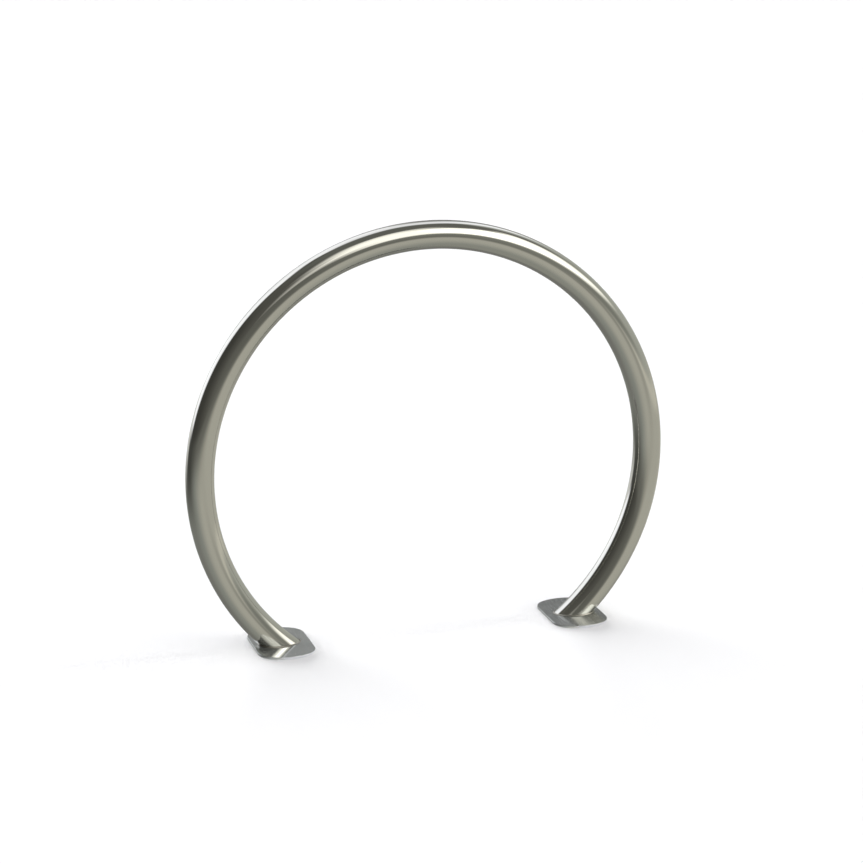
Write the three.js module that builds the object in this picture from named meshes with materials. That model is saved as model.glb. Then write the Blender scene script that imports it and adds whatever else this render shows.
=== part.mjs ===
// Hoop bike rack: a round stainless tube rolled to most of a ring, standing on two welded base plates.
// Units are millimetres, +Z is up. The origin is on the ground, midway between the two feet.
// The ring lies in the XZ plane, so bicycles stand along it on its +Y and -Y sides.

import * as THREE from "three";

// Driving dimensions of the hoop.
const overallHeight = 900; // from the ground to the top of the ring
const footSpacing = 659; // between the middles of the two feet, at the ground
const tubeDiameter = 60.3; // outside, a DN 50 pipe
const tubeWall = 2.6;

// Driving dimensions of a base plate: two straight sides, two bowed ends and four round corners.
const plateWidth = 124; // along X, between the straight sides
const plateLength = 187; // along Y, between the tops of the bowed ends
const plateThickness = 5;
const plateEndRadius = 85;
const plateCornerRadius = 42;
const plateEdgeBreak = 0.5; // chamfer that takes the sharp edge off

// Driving dimensions of the weld round each foot.
const weldLeg = 2; // along the plate and along the tube
const weldCrown = 0.3; // how far the bead's face bulges
const weldClearance = 0.3; // between the bead and what it joins

// How finely the round shapes are divided.
const stepsAlongHoop = 72;
const sidesRoundTube = 24;
const stepsPerPlateArc = 6;

// Sizes worked out from the driving dimensions. The middle of the tube follows one circle, through both
// feet at the ground and through the middle of the tube at the top. The hoop comes out 1055 wide.
const tubeRadius = tubeDiameter / 2;
const boreRadius = tubeRadius - tubeWall;
const plateCentre = footSpacing / 2;
const topOfMiddle = overallHeight - tubeRadius;
const ringRadius = (topOfMiddle ** 2 + plateCentre ** 2) / (topOfMiddle * 2);
const ringCentreHeight = topOfMiddle - ringRadius;

// The finishes.
const polishedTube = new THREE.MeshStandardMaterial({ color: 0xa3a294, roughness: 0.22, metalness: 1 });
const polishedPlate = new THREE.MeshStandardMaterial({ color: 0xa9aca8, roughness: 0.18, metalness: 1 });
const dressedWeld = new THREE.MeshStandardMaterial({ color: 0x9c9b90, roughness: 0.3, metalness: 1 });

// A point on the ring's surface. round is the angle round the tube, where 0 faces away from the ring's
// centre, and along is the angle round the ring, where 0 is its +X side and a quarter turn is its top.
function ringPoint(surfaceRadius, round, along) {
  const reach = ringRadius + surfaceRadius * Math.cos(round);
  return new THREE.Vector3(
    reach * Math.cos(along),
    surfaceRadius * Math.sin(round),
    ringCentreHeight + reach * Math.sin(along),
  );
}

// The angle round the ring where a line along its surface comes down to a height, on the +X side.
function angleAtHeight(surfaceRadius, round, height) {
  const reach = ringRadius + surfaceRadius * Math.cos(round);
  return Math.asin((height - ringCentreHeight) / reach);
}

// A closed solid from rings of points that share one count. Each ring is joined to the next, and the
// last ring is joined back to the first, so they close into one loop of wall.
function solidFromRings(rings) {
  const count = rings[0].length;
  const positions = rings.flat().flatMap((point) => point.toArray());
  const triangles = [];
  rings.forEach((ring, index) => {
    const here = index * count;
    const next = ((index + 1) % rings.length) * count;
    for (let side = 0; side < count; side += 1) {
      const beside = (side + 1) % count;
      triangles.push(here + side, here + beside, next + beside);
      triangles.push(here + side, next + beside, next + side);
    }
  });
  const geometry = new THREE.BufferGeometry();
  geometry.setAttribute("position", new THREE.Float32BufferAttribute(positions, 3));
  geometry.setIndex(triangles);
  geometry.computeVertexNormals();
  return geometry;
}

// The rings of points up one wall of the tube, from the flat foot on +X over the top to the foot on -X.
function wallRings(surfaceRadius) {
  const rings = [];
  for (let step = 0; step <= stepsAlongHoop; step += 1) {
    const ring = [];
    for (let side = 0; side < sidesRoundTube; side += 1) {
      const round = (side / sidesRoundTube) * Math.PI * 2;
      const footAngle = angleAtHeight(surfaceRadius, round, plateThickness);
      const turn = Math.PI - footAngle * 2;
      ring.push(ringPoint(surfaceRadius, round, footAngle + (step / stepsAlongHoop) * turn));
    }
    rings.push(ring);
  }
  return rings;
}

// The tube is its outer wall one way and its bore back the other way. Both feet are cut level.
function makeHoopTube() {
  const outside = wallRings(tubeRadius);
  const inside = wallRings(boreRadius).reverse();
  return solidFromRings([...outside, ...inside]);
}

// The plate's outline, drawn from its +X straight side round to it again.
function plateOutline() {
  const halfWidth = plateWidth / 2;
  const endCentre = plateLength / 2 - plateEndRadius;
  const cornerX = halfWidth - plateCornerRadius;
  const centreGap = plateEndRadius - plateCornerRadius;
  const cornerY = endCentre + Math.sqrt(centreGap ** 2 - cornerX ** 2);
  const blend = Math.atan2(cornerY - endCentre, cornerX);
  const outline = new THREE.Shape();
  outline.moveTo(halfWidth, -cornerY);
  outline.absarc(cornerX, cornerY, plateCornerRadius, 0, blend);
  outline.absarc(0, endCentre, plateEndRadius, blend, Math.PI - blend);
  outline.absarc(-cornerX, cornerY, plateCornerRadius, Math.PI - blend, Math.PI);
  outline.absarc(-cornerX, -cornerY, plateCornerRadius, Math.PI, Math.PI + blend);
  outline.absarc(0, -endCentre, plateEndRadius, Math.PI + blend, Math.PI * 2 - blend);
  outline.absarc(cornerX, -cornerY, plateCornerRadius, Math.PI * 2 - blend, Math.PI * 2);
  return outline;
}

// A plate lies on the ground, centred where the middle of the tube would meet it.
function makeBasePlate(side) {
  const geometry = new THREE.ExtrudeGeometry(plateOutline(), {
    depth: plateThickness - plateEdgeBreak * 2,
    curveSegments: stepsPerPlateArc,
    bevelThickness: plateEdgeBreak,
    bevelSize: plateEdgeBreak,
    bevelOffset: -plateEdgeBreak,
    bevelSegments: 1,
  });
  geometry.translate(side * plateCentre, 0, plateEdgeBreak);
  return geometry;
}

// One cut through the weld on the +X foot: its root, its toe on the tube, its crown and its toe on the plate.
function weldSection(round) {
  const rootRadius = tubeRadius + weldClearance;
  const rootHeight = plateThickness + weldClearance;
  const along = angleAtHeight(rootRadius, round, rootHeight);
  const root = ringPoint(rootRadius, round, along);
  const outward = new THREE.Vector3(Math.cos(round) * Math.cos(along), Math.sin(round), 0);
  const rise = weldLeg * outward.length();
  outward.normalize();
  const plateToe = root.clone().addScaledVector(outward, weldLeg);
  const tubeToe = ringPoint(rootRadius, round, angleAtHeight(rootRadius, round, rootHeight + rise));
  const crown = plateToe.clone().add(tubeToe).divideScalar(2);
  const away = crown.clone().sub(root).normalize();
  crown.addScaledVector(away, weldCrown);
  return [root, tubeToe, crown, plateToe];
}

// The weld is a bead that runs once round the foot of the tube.
function makeFootWeld(side) {
  const sections = [];
  for (let step = 0; step < sidesRoundTube; step += 1) {
    const round = (step / sidesRoundTube) * Math.PI * 2;
    sections.push(weldSection(side > 0 ? round : -round));
  }
  sections.flat().forEach((point) => {
    point.x *= side;
  });
  return solidFromRings(sections);
}

function makeMesh(name, geometry, material) {
  const mesh = new THREE.Mesh(geometry, material);
  mesh.name = name;
  return mesh;
}

const rack = new THREE.Group();
rack.add(makeMesh("hoop_tube", makeHoopTube(), polishedTube));
for (const [name, side] of [["left", -1], ["right", 1]]) {
  rack.add(makeMesh(`${name}_base_plate`, makeBasePlate(side), polishedPlate));
  rack.add(makeMesh(`${name}_foot_weld`, makeFootWeld(side), dressedWeld));
}

export default rack;
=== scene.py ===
import math

import bpy
import numpy as np
from bpy.props import FloatProperty, FloatVectorProperty, IntProperty, PointerProperty
from bpy.types import Operator, Panel, PropertyGroup
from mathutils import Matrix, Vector


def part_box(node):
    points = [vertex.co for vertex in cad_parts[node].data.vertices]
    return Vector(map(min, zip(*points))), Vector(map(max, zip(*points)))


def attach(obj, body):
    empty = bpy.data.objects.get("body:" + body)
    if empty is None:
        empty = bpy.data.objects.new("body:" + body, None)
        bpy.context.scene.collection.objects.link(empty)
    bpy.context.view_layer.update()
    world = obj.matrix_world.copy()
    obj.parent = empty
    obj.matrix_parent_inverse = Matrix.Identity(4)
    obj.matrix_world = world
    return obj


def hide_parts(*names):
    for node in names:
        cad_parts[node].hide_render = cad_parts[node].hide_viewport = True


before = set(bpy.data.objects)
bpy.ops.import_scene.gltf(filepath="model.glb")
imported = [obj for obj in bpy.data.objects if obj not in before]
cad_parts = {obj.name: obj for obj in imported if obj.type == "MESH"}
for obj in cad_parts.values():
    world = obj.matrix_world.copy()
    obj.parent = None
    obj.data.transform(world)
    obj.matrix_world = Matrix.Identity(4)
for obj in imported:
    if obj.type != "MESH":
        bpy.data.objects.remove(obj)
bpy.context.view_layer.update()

bl_info = {
    "name": "Hoop bike rack",
    "version": (1, 0, 0),
    "blender": (4, 5, 0),
    "location": "3D View > Sidebar > Bike rack",
    "description": "Dresses a stainless steel hoop bike rack and its studio",
    "category": "Object",
}

ROOT_BODY = "root"

# The frame's own sizes, in metres. The hoop's node is the tube, and a plate's node is its plate.
HOOP_LOW, HOOP_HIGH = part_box("hoop_tube")
PLATE_LOW, PLATE_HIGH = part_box("right_base_plate")
MILLIMETRE = 0.001

# Points closer together than this are one point, and what is this near to a height lies at it.
SLACK = 0.01 * MILLIMETRE

# Most values of a noise pattern lie between these two.
NOISE_LOW = 0.3
NOISE_HIGH = 0.7

# The places of a Mix node's colour sockets, because its other kinds share their names.
COLOUR_A = 6
COLOUR_B = 7
MIXED_COLOUR = 2


def linear(code):
    """An sRGB hex code as the linear colour that the shaders use."""
    shares = [int(code[i:i + 2], 16) / 255 for i in (0, 2, 4)]
    return tuple(c / 12.92 if c <= 0.04045 else ((c + 0.055) / 1.055) ** 2.4 for c in shares)


def to_tenth(length):
    """One of the frame's lengths, rounded to a tenth of a millimetre."""
    return round(length, 4)


# Sizes and colours that a user would change

class RackTube(PropertyGroup):
    diameter: FloatProperty(
        name="Tube diameter", description="Outside diameter of the hoop's tube",
        default=to_tenth(HOOP_HIGH.y - HOOP_LOW.y), min=0.02, unit="LENGTH")
    wall: FloatProperty(
        name="Tube wall", description="Thickness of the tube's wall",
        default=2.6 * MILLIMETRE, min=0.0005, unit="LENGTH")
    height: FloatProperty(
        name="Height", description="From the ground to the top of the hoop",
        default=to_tenth(HOOP_HIGH.z), min=0.2, unit="LENGTH")
    colour: FloatVectorProperty(
        name="Tube colour", description="Colour of the polished steel, seen face on",
        default=linear("CBC9C3"), size=3, min=0, max=1, subtype="COLOR")
    roughness: FloatProperty(
        name="Tube roughness", description="How far the polish blurs what it mirrors",
        default=0.07, min=0, max=1, subtype="FACTOR")


class RackPlate(PropertyGroup):
    width: FloatProperty(
        name="Plate width", description="Between the two straight sides",
        default=to_tenth(PLATE_HIGH.x - PLATE_LOW.x), min=0.02, unit="LENGTH")
    length: FloatProperty(
        name="Plate length", description="Between the tops of the two bowed ends",
        default=to_tenth(PLATE_HIGH.y - PLATE_LOW.y), min=0.02, unit="LENGTH")
    thickness: FloatProperty(
        name="Plate thickness", description="Thickness of a base plate",
        default=to_tenth(PLATE_HIGH.z - PLATE_LOW.z), min=0.001, unit="LENGTH")
    spacing: FloatProperty(
        name="Foot spacing", description="Between the middles of the two plates",
        default=to_tenth(PLATE_HIGH.x + PLATE_LOW.x), min=0.1, unit="LENGTH")
    end_radius: FloatProperty(
        name="End radius", description="Radius of a plate's bowed ends",
        default=85 * MILLIMETRE, min=0.01, unit="LENGTH")
    corner_radius: FloatProperty(
        name="Corner radius", description="Radius of a plate's corners",
        default=42 * MILLIMETRE, min=0.001, unit="LENGTH")
    edge_round: FloatProperty(
        name="Edge round", description="Radius of a plate's broken edges",
        default=0.5 * MILLIMETRE, min=0, unit="LENGTH")
    left_roughness: FloatProperty(
        name="Left plate roughness", description="How far the left plate's polish blurs what it mirrors",
        default=0.09, min=0, max=1, subtype="FACTOR")
    right_roughness: FloatProperty(
        name="Right plate roughness", description="How far the right plate's duller polish blurs",
        default=0.22, min=0, max=1, subtype="FACTOR")
    left_colour: FloatVectorProperty(
        name="Left plate colour", description="Colour of the left plate, seen face on",
        default=linear("C2C4C3"), size=3, min=0, max=1, subtype="COLOR")
    # The right plate is the same steel as the left. Its darker colour is painted shade.
    right_colour_painted_shade: FloatVectorProperty(
        name="Right plate colour", description="Colour of the right plate, seen face on",
        default=linear("A4A6A4"), size=3, min=0, max=1, subtype="COLOR")
    # The cut edge is lighter and bluer than the plates' steel. This is a painted highlight over its own
    # metal colour.
    edge_colour_painted_highlight: FloatVectorProperty(
        name="Cut edge colour", description="Colour of both plates' cut edge, seen face on",
        default=linear("EEEEF2"), size=3, min=0, max=1, subtype="COLOR")
    dust: FloatProperty(
        name="Dust", description="Share of a plate's top that fine dust covers",
        default=0.1, min=0, max=0.6, subtype="FACTOR")


class RackWeld(PropertyGroup):
    leg: FloatProperty(
        name="Weld leg", description="How far the bead reaches along the plate and up the tube",
        default=2 * MILLIMETRE, min=0.0005, unit="LENGTH")
    clearance: FloatProperty(
        name="Weld clearance", description="Between the bead's root and what it joins",
        default=0.3 * MILLIMETRE, min=0, unit="LENGTH")
    ripple: FloatProperty(
        name="Ripple spacing", description="Distance between two ripples of the bead",
        default=3.2 * MILLIMETRE, min=0.001, unit="LENGTH")
    ripple_height: FloatProperty(
        name="Ripple height", description="How far a ripple stands out of the dressed bead",
        default=0.06 * MILLIMETRE, min=0, unit="LENGTH")
    # The weld is darker than the tube: partly greyer dressed metal, partly painted shade where tube and
    # plate meet.
    colour: FloatVectorProperty(
        name="Weld colour", description="Colour of the dressed weld, seen face on",
        default=linear("A3A19A"), size=3, min=0, max=1, subtype="COLOR")
    heat_tint: FloatVectorProperty(
        name="Heat tint", description="Colour of the weld where heat tinted it",
        default=linear("948F84"), size=3, min=0, max=1, subtype="COLOR")


class RackStudio(PropertyGroup):
    azimuth: FloatProperty(
        name="Camera azimuth", description="Round the rack, where 0 looks along +Y",
        default=math.radians(-17.04), subtype="ANGLE")
    elevation: FloatProperty(
        name="Camera elevation", description="Above the horizon",
        default=math.radians(15.87), subtype="ANGLE")
    distance: FloatProperty(
        name="Camera distance", description="From the camera to the point that it looks at",
        default=5.619, min=0.5, unit="LENGTH")
    aim: FloatVectorProperty(
        name="Camera aim", description="The point that the camera looks at",
        default=(0.0059, 0, 0.4441), size=3, unit="LENGTH")
    lens: FloatProperty(
        name="Focal length", description="Of the camera's lens, in millimetres",
        default=110.4, min=10, max=400)
    floor_colour: FloatVectorProperty(
        name="Floor colour", description="Colour of the plain studio floor",
        default=linear("F6F6F6"), size=3, min=0, max=1, subtype="COLOR")
    low_light: FloatProperty(
        name="Low light", description="Share of the low lights that shade the floor",
        default=1.0, min=0)
    sides: IntProperty(
        name="Floor sides", description="How many sides the round floor has",
        default=96, min=3)


# Helpers that every piece uses

def add_node(tree, kind, inputs=None, **settings):
    """Adds one node. An input is a value, or the output that is linked to it."""
    node = tree.nodes.new(kind)
    for key, value in settings.items():
        setattr(node, key, value)
    for key, value in (inputs or {}).items():
        if isinstance(value, bpy.types.NodeSocket):
            tree.links.new(value, node.inputs[key])
        else:
            node.inputs[key].default_value = value
    return node


def new_material(name):
    """An empty material with its own shader and output, and the shader's node."""
    material = bpy.data.materials.new(name)
    material.use_nodes = True
    material.node_tree.nodes.clear()
    shader = add_node(material.node_tree, "ShaderNodeBsdfPrincipled")
    output = add_node(material.node_tree, "ShaderNodeOutputMaterial")
    material.node_tree.links.new(shader.outputs["BSDF"], output.inputs["Surface"])
    return material, shader


def start_piece():
    """Leaves edit mode and deselects everything, so that the next operator acts on its own piece."""
    if bpy.context.object and bpy.context.object.mode != "OBJECT":
        bpy.ops.object.mode_set(mode="OBJECT")
    bpy.ops.object.select_all(action="DESELECT")


def pick_piece(piece):
    """Selects one piece alone and makes it the active one."""
    start_piece()
    piece.select_set(True)
    bpy.context.view_layer.objects.active = piece


def apply_place(piece):
    """Moves a piece's place, turn and scale into its mesh, and leaves it at the origin."""
    pick_piece(piece)
    bpy.ops.object.transform_apply(location=True, rotation=True, scale=True)


def edit_piece(piece, mode="VERT"):
    """Opens one piece in edit mode, with all of it selected."""
    pick_piece(piece)
    bpy.ops.object.mode_set(mode="EDIT")
    bpy.ops.mesh.select_mode(type=mode)
    bpy.ops.mesh.select_all(action="SELECT")


def face_outwards():
    """Turns every face of the piece in edit mode outwards, and leaves edit mode."""
    bpy.ops.mesh.select_all(action="SELECT")
    bpy.ops.mesh.normals_make_consistent(inside=False)
    bpy.ops.object.mode_set(mode="OBJECT")


def select_where(piece, domain, test):
    """Selects only the edges or faces of a piece in edit mode whose middle passes a test."""
    bpy.ops.mesh.select_all(action="DESELECT")
    bpy.ops.object.mode_set(mode="OBJECT")
    mesh = piece.data
    for item in getattr(mesh, domain):
        corners = [mesh.vertices[i].co for i in item.vertices]
        item.select = test(sum(corners, Vector()) / len(corners))
    bpy.ops.object.mode_set(mode="EDIT")


def finish_piece(piece, materials, node, smooth_angle=math.radians(30)):
    """Shades and dresses a finished piece, and lets it stand for its CAD node."""
    pick_piece(piece)
    bpy.ops.object.shade_smooth_by_angle(angle=smooth_angle)
    for material in materials:
        piece.data.materials.append(material)
    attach(piece, ROOT_BODY)
    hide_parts(node)


# The shape that the tube, its feet and its welds share

class Ring:
    """The hoop's circle, worked out from its height, its foot spacing and its tube."""

    def __init__(self, tube, plate):
        top_of_middle = tube.height - tube.diameter / 2
        half_spacing = plate.spacing / 2
        self.radius = (top_of_middle ** 2 + half_spacing ** 2) / (top_of_middle * 2)
        self.centre_height = top_of_middle - self.radius
        self.tube_radius = tube.diameter / 2

    def angle_at_height(self, surface_radius, around, height):
        """The angle along the ring, on its +X side, where a line of its surface comes down to a height."""
        reach = self.radius + surface_radius * math.cos(around)
        return math.asin((height - self.centre_height) / reach)

    def point(self, surface_radius, around, along):
        """A point of the ring's surface, by its angle around the tube and its angle along the ring."""
        reach = self.radius + surface_radius * math.cos(around)
        return Vector((
            reach * math.cos(along),
            surface_radius * math.sin(around),
            self.centre_height + reach * math.sin(along),
        ))


# Finishes

def polished_tube_material(tube):
    """Austenitic stainless tube, belt polished and then buffed: a soft mirror with very fine lines round
    the tube, and broad faint smears where the buffing varied."""
    material, shader = new_material("buffed_stainless_tube")
    tree = material.node_tree
    place = add_node(tree, "ShaderNodeTexCoord")
    # Belt lines are about 0.1 mm apart. They are drawn 2 mm apart, or they would not show at all.
    line_spacing = 2 * MILLIMETRE
    line_length = 60 * MILLIMETRE
    line_depth = 0.05 * MILLIMETRE
    line_polish = 0.015
    line_blur = 0.02
    smear_size = 180 * MILLIMETRE
    smear_start = 0.45
    smear_full = 0.75
    smear_blur = 0.04
    smear_shade = 0.96
    lines_place = add_node(tree, "ShaderNodeMapping", {
        "Vector": place.outputs["UV"],
        "Scale": (1 / line_spacing, 1 / line_length, 1),
    })
    lines = add_node(tree, "ShaderNodeTexNoise", {
        "Vector": lines_place.outputs["Vector"], "Scale": 1.0, "Detail": 3.0, "Roughness": 0.6,
    }, noise_dimensions="2D")
    smears = add_node(tree, "ShaderNodeTexNoise", {
        "Vector": place.outputs["Object"], "Scale": 1 / smear_size, "Detail": 2.0, "Roughness": 0.5,
    })
    line_roughness = add_node(tree, "ShaderNodeMapRange", {
        "Value": lines.outputs["Fac"], "From Min": NOISE_LOW, "From Max": NOISE_HIGH,
        "To Min": tube.roughness - line_polish, "To Max": tube.roughness + line_blur,
    })
    smear_roughness = add_node(tree, "ShaderNodeMapRange", {
        "Value": smears.outputs["Fac"], "From Min": smear_start, "From Max": smear_full,
        "To Min": 0.0, "To Max": smear_blur,
    })
    roughness = add_node(tree, "ShaderNodeMath", {
        0: line_roughness.outputs["Result"], 1: smear_roughness.outputs["Result"],
    }, operation="ADD")
    tint = add_node(tree, "ShaderNodeMix", {
        "Factor": smears.outputs["Fac"],
        COLOUR_A: (*tube.colour, 1),
        COLOUR_B: (*[c * smear_shade for c in tube.colour], 1),
    }, data_type="RGBA")
    bump = add_node(tree, "ShaderNodeBump", {
        "Height": lines.outputs["Fac"], "Strength": 0.06, "Distance": line_depth,
    })
    tree.links.new(tint.outputs[MIXED_COLOUR], shader.inputs["Base Color"])
    tree.links.new(roughness.outputs["Value"], shader.inputs["Roughness"])
    tree.links.new(bump.outputs["Normal"], shader.inputs["Normal"])
    shader.inputs["Metallic"].default_value = 1.0
    return material


def polished_plate_material(name, colour, blur, dust):
    """Stainless sheet, ground one way and then buffed: a cool mirror, with fine duller grain that hazes it
    and a thin uneven film of dust."""
    material, shader = new_material(name)
    tree = material.node_tree
    place = add_node(tree, "ShaderNodeTexCoord").outputs["Object"]
    # The grain of a 320 grit belt is about 0.05 mm wide. It is drawn 0.8 mm wide, or it would not show.
    grain_width = 0.8 * MILLIMETRE
    grain_length = 60 * MILLIMETRE
    grain_depth = 0.05 * MILLIMETRE
    haze_start = 0.5
    haze_full = 0.66
    haze_blur = 0.15
    film_size = 25 * MILLIMETRE
    thin_film = 0.5
    thick_film = 1.5
    grain_place = add_node(tree, "ShaderNodeMapping", {
        "Vector": place,
        "Scale": (1 / grain_width, 1 / grain_length, 1 / grain_length),
    })
    grain = add_node(tree, "ShaderNodeTexNoise", {
        "Vector": grain_place.outputs["Vector"], "Scale": 1.0, "Detail": 3.0, "Roughness": 0.55,
    })
    roughness = add_node(tree, "ShaderNodeMapRange", {
        "Value": grain.outputs["Fac"], "From Min": haze_start, "From Max": haze_full,
        "To Min": blur, "To Max": blur + haze_blur,
    })
    bump = add_node(tree, "ShaderNodeBump", {
        "Height": grain.outputs["Fac"], "Strength": 0.05, "Distance": grain_depth,
    })
    film = add_node(tree, "ShaderNodeTexNoise", {
        "Vector": place, "Scale": 1 / film_size, "Detail": 4.0, "Roughness": 0.6,
    })
    bare_metal = add_node(tree, "ShaderNodeMapRange", {
        "Value": film.outputs["Fac"], "From Min": NOISE_LOW, "From Max": NOISE_HIGH,
        "To Min": 1 - dust * thin_film, "To Max": 1 - dust * thick_film,
    })
    tree.links.new(bare_metal.outputs["Result"], shader.inputs["Metallic"])
    tree.links.new(roughness.outputs["Result"], shader.inputs["Roughness"])
    tree.links.new(bump.outputs["Normal"], shader.inputs["Normal"])
    shader.inputs["Base Color"].default_value = (*colour, 1)
    return material


def cut_edge_material(plate):
    """A plate's laser cut edge, run over with a belt: fine upright ridges, and a shine that varies."""
    material, shader = new_material("linished_cut_edge")
    tree = material.node_tree
    place = add_node(tree, "ShaderNodeTexCoord").outputs["Object"]
    # A laser leaves ridges about 0.3 mm apart. They are drawn 1.2 mm apart, or they would not show.
    ridge_spacing = 1.2 * MILLIMETRE
    ridge_depth = 0.05 * MILLIMETRE
    bright_blur = 0.14
    dull_blur = 0.24
    flat_place = add_node(tree, "ShaderNodeMapping", {
        "Vector": place,
        "Scale": (1 / ridge_spacing, 1 / ridge_spacing, 0),
    })
    ridges = add_node(tree, "ShaderNodeTexNoise", {
        "Vector": flat_place.outputs["Vector"], "Scale": 1.0, "Detail": 2.0, "Roughness": 0.5,
    })
    roughness = add_node(tree, "ShaderNodeMapRange", {
        "Value": ridges.outputs["Fac"], "From Min": NOISE_LOW, "From Max": NOISE_HIGH,
        "To Min": bright_blur, "To Max": dull_blur,
    })
    bump = add_node(tree, "ShaderNodeBump", {
        "Height": ridges.outputs["Fac"], "Strength": 0.2, "Distance": ridge_depth,
    })
    tree.links.new(roughness.outputs["Result"], shader.inputs["Roughness"])
    tree.links.new(bump.outputs["Normal"], shader.inputs["Normal"])
    # The edge's colour carries a painted highlight, lighter and bluer than the plates' steel.
    shader.inputs["Base Color"].default_value = (*plate.edge_colour_painted_highlight, 1)
    shader.inputs["Metallic"].default_value = 1.0
    return material


def dressed_weld_material(weld):
    """A stainless fillet weld, ground back and buffed: duller and darker than the tube, with a faint straw
    tint in patches, left by heat. Its darkness is partly greyer dressed metal and partly painted shade at
    the joint."""
    material, shader = new_material("dressed_stainless_weld")
    tree = material.node_tree
    place = add_node(tree, "ShaderNodeTexCoord").outputs["Object"]
    patch_size = 9 * MILLIMETRE
    bright_blur = 0.34
    dull_blur = 0.46
    patches = add_node(tree, "ShaderNodeTexNoise", {
        "Vector": place, "Scale": 1 / patch_size, "Detail": 3.0, "Roughness": 0.6,
    })
    tint = add_node(tree, "ShaderNodeMix", {
        "Factor": patches.outputs["Fac"],
        COLOUR_A: (*weld.colour, 1),
        COLOUR_B: (*weld.heat_tint, 1),
    }, data_type="RGBA")
    roughness = add_node(tree, "ShaderNodeMapRange", {
        "Value": patches.outputs["Fac"], "From Min": NOISE_LOW, "From Max": NOISE_HIGH,
        "To Min": bright_blur, "To Max": dull_blur,
    })
    tree.links.new(tint.outputs[MIXED_COLOUR], shader.inputs["Base Color"])
    tree.links.new(roughness.outputs["Result"], shader.inputs["Roughness"])
    shader.inputs["Metallic"].default_value = 1.0
    return material


# Pieces

class RACK_OT_hoop_tube(Operator):
    """Spins the round tube into the hoop, gives it its wall and cuts both feet level"""

    bl_idname = "bike_rack.hoop_tube"
    bl_label = "Hoop tube"

    sides = 72
    steps_along = 288

    # The hoop is spun this much past each foot, and cut back.
    spare_angle = math.radians(4)

    def execute(self, context):
        tube, plate = context.scene.rack_tube, context.scene.rack_plate
        ring = Ring(tube, plate)
        foot = ring.angle_at_height(-ring.tube_radius, 0, plate.thickness)
        first = foot - self.spare_angle
        start_piece()
        bpy.ops.mesh.primitive_circle_add(
            vertices=self.sides, radius=ring.tube_radius, fill_type="NOTHING",
            location=ring.point(0, 0, first), rotation=(0, -first, 0))
        hoop = context.object
        hoop.name = hoop.data.name = "hoop_tube_polished"
        apply_place(hoop)
        self.spin_round(hoop, ring, math.pi - first * 2)
        self.give_wall(hoop, tube.wall)
        self.cut_feet(hoop, plate.thickness)
        self.unwrap(hoop, ring)
        finish_piece(hoop, [polished_tube_material(tube)], "hoop_tube")
        return {"FINISHED"}

    def spin_round(self, hoop, ring, turn):
        """Carries the tube's circle round the ring's middle."""
        edit_piece(hoop)
        bpy.ops.mesh.spin(
            steps=self.steps_along, angle=turn, use_auto_merge=False,
            center=(0, 0, ring.centre_height), axis=(0, 1, 0))
        face_outwards()

    def give_wall(self, hoop, wall):
        """Adds the bore, a wall's thickness inside the tube's surface."""
        solidify = hoop.modifiers.new("wall", "SOLIDIFY")
        solidify.thickness = wall
        solidify.offset = -1
        solidify.use_rim = False
        bpy.ops.object.modifier_apply(modifier=solidify.name)

    def cut_feet(self, hoop, foot_height):
        """Cuts both feet off at the plates' tops, and closes each wall with a flat ring."""
        edit_piece(hoop)
        bpy.ops.mesh.bisect(
            plane_co=(0, 0, foot_height), plane_no=(0, 0, 1), use_fill=False, clear_inner=True)
        cut = foot_height + SLACK
        for side in (-1, 1):
            bpy.ops.mesh.select_mode(type="EDGE")
            select_where(hoop, "edges", lambda middle: middle.z < cut and middle.x * side > 0)
            bpy.ops.mesh.bridge_edge_loops()
        face_outwards()

    def unwrap(self, hoop, ring):
        """Gives the tube a map in metres: along the ring, then around the tube."""
        mesh = hoop.data
        places = np.zeros(len(mesh.vertices) * 3)
        mesh.vertices.foreach_get("co", places)
        places = places.reshape(-1, 3)
        height = places[:, 2] - ring.centre_height
        along = np.arctan2(places[:, 0], height)
        out = np.hypot(places[:, 0], height) - ring.radius
        around = np.arctan2(places[:, 1], out)
        layer = mesh.uv_layers.new(name="along_and_around")
        corners = np.zeros(len(mesh.loops), dtype=int)
        mesh.loops.foreach_get("vertex_index", corners)
        sheet = np.stack([along[corners] * ring.radius, around[corners] * ring.tube_radius], axis=1)
        self.close_seam(mesh, sheet, math.tau * ring.tube_radius)
        layer.data.foreach_set("uv", sheet.ravel())

    def close_seam(self, mesh, sheet, girth):
        """Keeps a face that crosses the map's seam in one piece, a girth further on."""
        for face in mesh.polygons:
            corners = range(face.loop_start, face.loop_start + face.loop_total)
            values = [sheet[c, 1] for c in corners]
            if max(values) - min(values) > girth / 2:
                for corner in corners:
                    if sheet[corner, 1] < 0:
                        sheet[corner, 1] += girth


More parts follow.
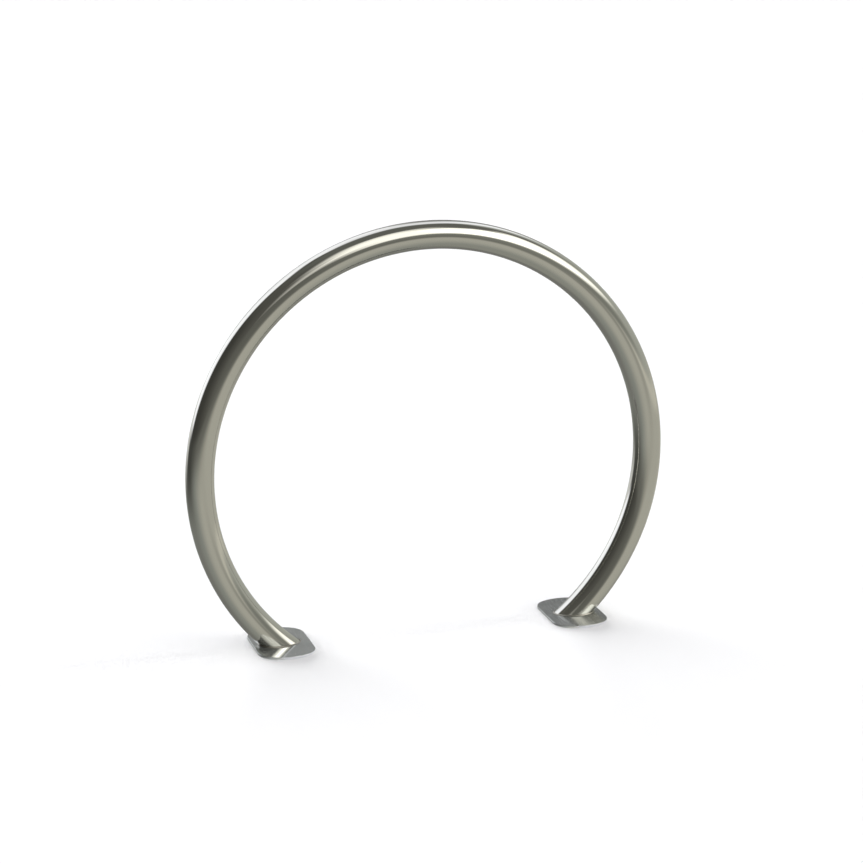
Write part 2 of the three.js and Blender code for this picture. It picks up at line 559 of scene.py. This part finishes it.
class RACK_OT_base_plates(Operator):
    """Draws a plate's outline with spun arcs, gives it its thickness and rounds its edges"""

    bl_idname = "bike_rack.base_plates"
    bl_label = "Base plates"

    corner_steps = 24
    end_steps = 24
    edge_segments = 3

    # Only edges that turn more than this are rounded.
    rounded_turn = math.radians(60)

    # A face whose normal rises less than this is part of the cut edge.
    upright_rise = 0.5

    def execute(self, context):
        plate = context.scene.rack_plate
        edge_finish = cut_edge_material(plate)
        pair = (
            ("left_base_plate", -1, "buffed_stainless_sheet", plate.left_colour, plate.left_roughness),
            # The right plate's higher roughness is its duller polish, and its darker colour is painted
            # shade.
            ("right_base_plate", 1, "satin_stainless_sheet", plate.right_colour_painted_shade, plate.right_roughness),
        )
        for name, side, finish_name, colour, blur in pair:
            piece = self.outline(context, plate, side * plate.spacing / 2)
            piece.name = piece.data.name = name + "_polished"
            self.thicken(piece, plate)
            self.round_edges(piece, plate)
            self.mark_cut_edge(piece)
            finish = polished_plate_material(finish_name, colour, blur, plate.dust)
            finish_piece(piece, [finish, edge_finish], name)
        return {"FINISHED"}

    def outline(self, context, plate, centre):
        """A quarter of the outline is spun from one point, then mirrored twice."""
        end_centre = plate.length / 2 - plate.end_radius
        corner_x = plate.width / 2 - plate.corner_radius
        centre_gap = plate.end_radius - plate.corner_radius
        corner_y = end_centre + math.sqrt(centre_gap ** 2 - corner_x ** 2)
        blend = math.atan2(corner_y - end_centre, corner_x)
        # The small plane is merged into the point that the outline starts from.
        start_piece()
        bpy.ops.mesh.primitive_plane_add(size=plate.thickness, location=(plate.width / 2, 0, 0))
        piece = context.object
        apply_place(piece)
        edit_piece(piece)
        bpy.ops.mesh.merge(type="CENTER")
        bpy.ops.mesh.extrude_region_move(TRANSFORM_OT_translate={"value": (0, corner_y, 0)})
        bpy.ops.mesh.spin(
            steps=self.corner_steps, angle=blend, center=(corner_x, corner_y, 0), axis=(0, 0, -1))
        bpy.ops.mesh.spin(
            steps=self.end_steps, angle=math.pi / 2 - blend, center=(0, end_centre, 0), axis=(0, 0, -1))
        bpy.ops.object.mode_set(mode="OBJECT")
        mirror = piece.modifiers.new("quarters", "MIRROR")
        mirror.use_axis = (True, True, False)
        mirror.merge_threshold = SLACK
        bpy.ops.object.modifier_apply(modifier=mirror.name)
        piece.location.x = centre
        apply_place(piece)
        return piece

    def thicken(self, piece, plate):
        """Fills the outline and raises it to the plate's thickness."""
        edit_piece(piece)
        bpy.ops.mesh.remove_doubles(threshold=SLACK)
        bpy.ops.mesh.edge_face_add()
        bpy.ops.mesh.extrude_region_move(TRANSFORM_OT_translate={"value": (0, 0, plate.thickness)})
        face_outwards()

    def round_edges(self, piece, plate):
        """Rounds both rims, and gives each flat face a border, which keeps its mirror flat to the edge."""
        edge = piece.modifiers.new("edge", "BEVEL")
        edge.width = plate.edge_round
        edge.segments = self.edge_segments
        edge.limit_method = "ANGLE"
        edge.angle_limit = self.rounded_turn
        bpy.ops.object.modifier_apply(modifier=edge.name)
        edit_piece(piece, "FACE")
        half = plate.thickness / 2
        select_where(piece, "polygons", lambda middle: abs(abs(middle.z - half) - half) < SLACK)
        bpy.ops.mesh.inset(thickness=plate.edge_round, depth=0)
        bpy.ops.object.mode_set(mode="OBJECT")

    def mark_cut_edge(self, piece):
        """The faces between the two rims take the second finish."""
        for face in piece.data.polygons:
            upright = abs(face.normal.z) < self.upright_rise
            face.material_index = int(upright)


class RACK_OT_foot_welds(Operator):
    """Bends a torus into the fillet weld that runs round each foot of the tube"""

    bl_idname = "bike_rack.foot_welds"
    bl_label = "Foot welds"

    steps_round = 240
    steps_across = 12
    smooth_angle = math.radians(60)

    # The bead's face bulges by this share of its leg, besides its ripples.
    bulge = 0.03

    # The bead's face takes up the steps across between these two shares of them.
    face_start = 0.25
    face_end = 0.75

    def execute(self, context):
        scene = context.scene
        ring = Ring(scene.rack_tube, scene.rack_plate)
        finish = dressed_weld_material(scene.rack_weld)
        for name, side in (("left_foot_weld", -1), ("right_foot_weld", 1)):
            start_piece()
            bpy.ops.mesh.primitive_torus_add(
                major_segments=self.steps_round, minor_segments=self.steps_across,
                major_radius=ring.tube_radius, minor_radius=scene.rack_weld.leg)
            piece = context.object
            piece.name = piece.data.name = name + "_dressed"
            apply_place(piece)
            self.shape_bead(piece, ring, scene.rack_weld, scene.rack_plate, side)
            edit_piece(piece)
            face_outwards()
            finish_piece(piece, [finish], name, self.smooth_angle)
        return {"FINISHED"}

    def shape_bead(self, piece, ring, weld, plate, side):
        """Lays each of the torus's cross-sections into the corner between the tube and the plate."""
        girth = math.tau * ring.tube_radius
        ripples = round(girth / weld.ripple)
        for index, vertex in enumerate(piece.data.vertices):
            around = index // self.steps_across / self.steps_round * math.tau
            share = index % self.steps_across / self.steps_across
            root, tube_toe, plate_toe, away = self.corner(ring, weld, plate, around)
            ripple = weld.ripple_height * (1 + math.cos(around * ripples)) / 2
            crown = away * (ripple + weld.leg * self.bulge)
            point = self.section_point(share, root, tube_toe, plate_toe, crown)
            vertex.co = (point.x * side, point.y, point.z)

    def corner(self, ring, weld, plate, around):
        """The bead's root and its two toes at one angle round the foot, and the way its face looks."""
        surface = ring.tube_radius + weld.clearance
        height = plate.thickness + weld.clearance
        along = ring.angle_at_height(surface, around, height)
        root = ring.point(surface, around, along)
        outward = Vector((math.cos(around) * math.cos(along), math.sin(around), 0))
        rise = weld.leg * outward.length
        outward.normalize()
        plate_toe = root + outward * weld.leg
        tube_toe = ring.point(surface, around, ring.angle_at_height(surface, around, height + rise))
        away = ((plate_toe + tube_toe) / 2 - root).normalized()
        return root, tube_toe, plate_toe, away

    def section_point(self, share, root, tube_toe, plate_toe, crown):
        """A point of the bead's rounded triangle: root to plate toe, its face, then tube toe to root."""
        if share < self.face_start:
            return root.lerp(plate_toe, share / self.face_start)
        if share < self.face_end:
            across = (share - self.face_start) / (self.face_end - self.face_start)
            return plate_toe.lerp(tube_toe, across) + crown * math.sin(across * math.pi)
        return tube_toe.lerp(root, (share - self.face_end) / (1 - self.face_end))


# The studio

# What the polished steel mirrors: a plain room with windows behind the rack, and one behind the viewer and
# to the right. The floor and the walls each have a plain colour, with soft-edged patches laid over it in
# turn. A patch is its name, colour and strength, then its middle, half its size and its soft edge, each as
# azimuth and elevation in degrees. Azimuth 0 is +Y and 90 is +X.
ROOM_FLOOR = "A2A6A0"
FLOOR_PATCHES = (
    ("below the rack", "A6A8A0", 1.0, (0, -90), (180, 10), (60, 30)),
    ("light floor", "C9C9BE", 1.0, (120, -16), (60, 12), (60, 46)),
    ("far floor", "7B7C76", 1.0, (-150, -4), (40, 2), (40, 13)),
    ("floor in shade", "535450", 1.0, (-68, -6), (12, 4), (60, 31)),
    ("floor under the window", "8A8B87", 1.0, (-12, -52), (30, 14), (95, 16)),
    ("window on the floor", "F0F2F0", 1.0, (-18, -5), (16, 3), (22, 12)),
    ("skirting", "E2E1D4", 1.0, (104, -6), (24, 1), (24, 4)),
)
ROOM_WALLS = "62625D"
WALL_PATCHES = (
    ("ceiling", "737570", 1.0, (0, 90), (180, 18), (60, 20)),
    ("far wall", "73746E", 1.0, (180, 5), (8, 8), (50, 14)),
    ("dark wall", "4A4A46", 1.0, (-74, 10), (12, 20), (62, 24)),
    ("light wall", "C1C4BB", 1.0, (75, 4), (30, 10), (75, 44)),
    ("wall below the front window", "92948C", 1.0, (140, 7), (8, 3), (38, 7)),
    ("wall beside the window", "767772", 1.0, (84, 56), (30, 12), (30, 14)),
    ("glow beside the window", "C9CDC8", 1.0, (50, 42), (4, 10), (24, 12)),
    ("tall window", "F5F8FF", 1.7, (-33, 20), (16, 26), (14, 12)),
    ("edge of the tall window", "F5F8FF", 1.3, (-8, 26), (8, 10), (12, 10)),
    ("wide window", "F6F9FF", 1.6, (10, 44), (34, 10), (12, 16)),
    ("window's arch", "F6F9FF", 1.4, (14, 58), (16, 3), (28, 13)),
    ("pillar", "949594", 1.0, (21, 18), (2, 12), (15, 26)),
    ("side of the front window", "FBFBF3", 0.85, (-178, 40), (6, 15), (24, 8)),
    ("top of the front window", "FBFBF3", 1.55, (174, 54), (4, 6), (46, 10)),
    ("middle of the front window", "FBFBF3", 1.85, (154, 42), (28, 8), (14, 8)),
    ("front window", "FBFBF3", 1.9, (134, 34), (35, 12), (14, 10)),
    ("sky in the front window", "FBFBF6", 4.2, (134, 35), (14, 8), (16, 8)),
)

# The floor fades into the walls between these two elevations.
HORIZON_LOW = math.radians(-6)
HORIZON_HIGH = math.radians(0)


class RACK_OT_studio(Operator):
    """Makes the pale floor, the room that lights and mirrors in the rack, and the camera"""

    bl_idname = "bike_rack.studio"
    bl_label = "Studio"

    floor_radius = 30.0
    sensor_width = 36.0
    clip_end = 100.0

    # The steel mirrors the floor's paper up to the near distance, and none of it from the far one on.
    near_mirror = 20 * MILLIMETRE
    far_mirror = 40 * MILLIMETRE

    # Measured from a foot's middle to the right: none of it left of the dark side, all right of the white.
    dark_side = -36 * MILLIMETRE
    white_side = -8 * MILLIMETRE

    even_light = 0.58
    even_colour = linear("FBFBFF")
    backdrop_colour = (1, 1, 1)

    # The low lights are alike, but the furthest left has half their strength. Each has a name, an azimuth
    # and a strength.
    low_elevation = math.radians(3)
    low_width = math.radians(16)
    low_strength = 4.4
    low_lights = (
        ("far_left", math.radians(-45), low_strength / 2),
        ("left", math.radians(-30), low_strength),
        ("middle_left", math.radians(-15), low_strength),
        ("middle", math.radians(0), low_strength),
        ("middle_right", math.radians(15), low_strength),
        ("right", math.radians(90), low_strength),
    )

    def execute(self, context):
        studio = context.scene.rack_studio
        context.scene.view_settings.view_transform = "Standard"
        self.make_camera(context, studio)
        self.make_floor(context, studio)
        self.make_low_lights(context, studio)
        self.make_room(context)
        return {"FINISHED"}

    def make_camera(self, context, studio):
        """Sets the camera back from its aim, along the way that its two angles give."""
        flat = math.cos(studio.elevation)
        back = Vector((
            math.sin(studio.azimuth) * flat,
            -math.cos(studio.azimuth) * flat,
            math.sin(studio.elevation),
        ))
        start_piece()
        bpy.ops.object.camera_add(location=Vector(studio.aim) + back * studio.distance)
        camera = context.object
        camera.name = "camera"
        camera.rotation_mode = "QUATERNION"
        camera.rotation_quaternion = (-back).to_track_quat("-Z", "Y")
        camera.data.lens = studio.lens
        camera.data.sensor_width = self.sensor_width
        camera.data.clip_end = self.clip_end
        context.scene.camera = camera

    def make_floor(self, context, studio):
        """Lays the round floor, which isn't part of the rack."""
        start_piece()
        bpy.ops.mesh.primitive_circle_add(
            vertices=studio.sides, radius=self.floor_radius, fill_type="NGON")
        floor = context.object
        floor.name = floor.data.name = "studio_floor"
        floor.data.materials.append(self.paper(studio, context.scene.rack_plate.spacing))

    def paper(self, studio, spacing):
        """White paper, seen through to the room's floor where the steel doesn't mirror it."""
        material, shader = new_material("matt_white_paper")
        tree = material.node_tree
        shader.inputs["Base Color"].default_value = (*studio.floor_colour, 1)
        shader.inputs["Roughness"].default_value = 1.0
        shader.inputs["Specular IOR Level"].default_value = 0.0
        clear = add_node(tree, "ShaderNodeBsdfTransparent")
        surface = add_node(tree, "ShaderNodeMixShader", {
            0: self.hidden_in_steel(tree, spacing),
            1: shader.outputs["BSDF"],
            2: clear.outputs["BSDF"],
        })
        output = next(node for node in tree.nodes if node.type == "OUTPUT_MATERIAL")
        tree.links.new(surface.outputs["Shader"], output.inputs["Surface"])
        return material

    def hidden_in_steel(self, tree, spacing):
        """1 for a reflection of the paper that is far from the steel, or at the left of a foot."""
        light = add_node(tree, "ShaderNodeLightPath")
        far = add_node(tree, "ShaderNodeMapRange", {
            "Value": light.outputs["Ray Length"],
            "From Min": self.near_mirror, "From Max": self.far_mirror,
        })
        place = add_node(tree, "ShaderNodeSeparateXYZ", {
            "Vector": add_node(tree, "ShaderNodeTexCoord").outputs["Object"],
        })
        # Wrapped at the foot spacing, both feet have their middle at minus half of it.
        wrapped = add_node(tree, "ShaderNodeMath", {
            0: place.outputs["X"], 1: 0.0, 2: -spacing,
        }, operation="WRAP")
        foot_middle = -spacing / 2
        at_the_left = add_node(tree, "ShaderNodeMapRange", {
            "Value": wrapped.outputs["Value"],
            "From Min": foot_middle + self.white_side, "From Max": foot_middle + self.dark_side,
        }, interpolation_type="SMOOTHSTEP")
        hidden = add_node(tree, "ShaderNodeMath", {
            0: far.outputs["Result"], 1: at_the_left.outputs["Result"],
        }, operation="MAXIMUM")
        in_steel = add_node(tree, "ShaderNodeMath", {
            0: hidden.outputs["Value"], 1: light.outputs["Is Glossy Ray"],
        }, operation="MULTIPLY")
        return in_steel.outputs["Value"]

    def make_low_lights(self, context, studio):
        """Low lights behind the rack and at its right, unseen in the steel, which shade the floor."""
        flat = math.cos(self.low_elevation)
        rise = math.sin(self.low_elevation)
        for name, azimuth, strength in self.low_lights:
            towards = Vector((math.sin(azimuth) * flat, math.cos(azimuth) * flat, rise))
            start_piece()
            bpy.ops.object.light_add(type="SUN")
            light = context.object
            light.name = f"low_light_{name}"
            light.rotation_mode = "QUATERNION"
            light.rotation_quaternion = (-towards).to_track_quat("-Z", "Y")
            light.data.angle = self.low_width
            light.data.energy = strength * studio.low_light
            light.visible_glossy = False

    def make_room(self, context):
        """The steel mirrors the painted room, the floor is lit evenly, and the backdrop is white."""
        world = bpy.data.worlds.new("room")
        context.scene.world = world
        world.use_nodes = True
        tree = world.node_tree
        tree.nodes.clear()
        room = add_node(tree, "ShaderNodeBackground", {"Color": self.paint_room(tree)})
        even_light = add_node(tree, "ShaderNodeBackground", {
            "Color": (*self.even_colour, 1), "Strength": self.even_light,
        })
        backdrop = add_node(tree, "ShaderNodeBackground", {"Color": (*self.backdrop_colour, 1)})
        light = add_node(tree, "ShaderNodeLightPath")
        lit = add_node(tree, "ShaderNodeMixShader", {
            0: light.outputs["Is Diffuse Ray"],
            1: room.outputs["Background"],
            2: even_light.outputs["Background"],
        })
        surface = add_node(tree, "ShaderNodeMixShader", {
            0: light.outputs["Is Camera Ray"],
            1: lit.outputs["Shader"],
            2: backdrop.outputs["Background"],
        })
        add_node(tree, "ShaderNodeOutputWorld", {"Surface": surface.outputs["Shader"]})

    def paint_room(self, tree):
        """The room's colour in every direction: its floor below the horizon, and its walls above."""
        direction = add_node(tree, "ShaderNodeTexCoord").outputs["Generated"]
        axes = add_node(tree, "ShaderNodeSeparateXYZ", {"Vector": direction})
        azimuth = add_node(tree, "ShaderNodeMath", {
            0: axes.outputs["X"], 1: axes.outputs["Y"],
        }, operation="ARCTAN2").outputs["Value"]
        elevation = add_node(tree, "ShaderNodeMath", {
            0: axes.outputs["Z"],
        }, operation="ARCSINE").outputs["Value"]
        above = add_node(tree, "ShaderNodeMapRange", {
            "Value": elevation, "From Min": HORIZON_LOW, "From Max": HORIZON_HIGH,
        }, interpolation_type="SMOOTHSTEP")
        both = add_node(tree, "ShaderNodeMix", {
            "Factor": above.outputs["Result"],
            COLOUR_A: self.paint(tree, azimuth, elevation, ROOM_FLOOR, FLOOR_PATCHES),
            COLOUR_B: self.paint(tree, azimuth, elevation, ROOM_WALLS, WALL_PATCHES),
        }, data_type="RGBA")
        return both.outputs[MIXED_COLOUR]

    def paint(self, tree, azimuth, elevation, base, patches):
        """Lays patches over one plain colour, in turn, and gives the colour that results."""
        colour = (*linear(base), 1)
        for name, code, strength, middle, half, soft in patches:
            across = self.band(tree, azimuth, middle[0], half[0], soft[0], wraps=True)
            up = self.band(tree, elevation, middle[1], half[1], soft[1])
            mask = add_node(tree, "ShaderNodeMath", {0: across, 1: up}, operation="MULTIPLY")
            patch = [c * strength for c in linear(code)]
            mix = add_node(tree, "ShaderNodeMix", {
                "Factor": mask.outputs["Value"], COLOUR_A: colour, COLOUR_B: (*patch, 1),
            }, data_type="RGBA", label=name)
            colour = mix.outputs[MIXED_COLOUR]
        return colour

    def band(self, tree, angle, middle, half, soft, wraps=False):
        """1 within half an angle of the middle, and down to 0 over the soft edge."""
        away = add_node(tree, "ShaderNodeMath", {
            0: angle, 1: math.radians(middle),
        }, operation="SUBTRACT").outputs["Value"]
        if wraps:
            away = add_node(tree, "ShaderNodeMath", {
                0: away, 1: math.pi, 2: -math.pi,
            }, operation="WRAP").outputs["Value"]
        distance = add_node(tree, "ShaderNodeMath", {0: away}, operation="ABSOLUTE")
        return add_node(tree, "ShaderNodeMapRange", {
            "Value": distance.outputs["Value"],
            "From Min": math.radians(half + soft), "From Max": math.radians(half),
        }, interpolation_type="SMOOTHSTEP").outputs["Result"]


class RACK_PT_sidebar(Panel):
    """Lists the sizes and colours, with a button for what they belong to"""

    bl_idname = "RACK_PT_sidebar"
    bl_label = "Bike rack"
    bl_space_type = "VIEW_3D"
    bl_region_type = "UI"
    bl_category = "Bike rack"

    def draw(self, context):
        scene = context.scene
        groups = (
            (scene.rack_tube, RACK_OT_hoop_tube),
            (scene.rack_plate, RACK_OT_base_plates),
            (scene.rack_weld, RACK_OT_foot_welds),
            (scene.rack_studio, RACK_OT_studio),
        )
        for settings, operator in groups:
            box = self.layout.box()
            for key in settings.__annotations__:
                box.prop(settings, key)
            box.operator(operator.bl_idname)


SETTINGS = {
    "rack_tube": RackTube,
    "rack_plate": RackPlate,
    "rack_weld": RackWeld,
    "rack_studio": RackStudio,
}
CLASSES = (
    *SETTINGS.values(),
    RACK_OT_studio,
    RACK_OT_hoop_tube,
    RACK_OT_base_plates,
    RACK_OT_foot_welds,
    RACK_PT_sidebar,
)


def register():
    for cls in CLASSES:
        bpy.utils.register_class(cls)
    for name, group in SETTINGS.items():
        setattr(bpy.types.Scene, name, PointerProperty(type=group))


def unregister():
    for name in SETTINGS:
        delattr(bpy.types.Scene, name)
    for cls in reversed(CLASSES):
        bpy.utils.unregister_class(cls)


def main():
    register()
    bpy.ops.bike_rack.studio()
    bpy.ops.bike_rack.hoop_tube()
    bpy.ops.bike_rack.base_plates()
    bpy.ops.bike_rack.foot_welds()


if __name__ == "__main__":
    main()
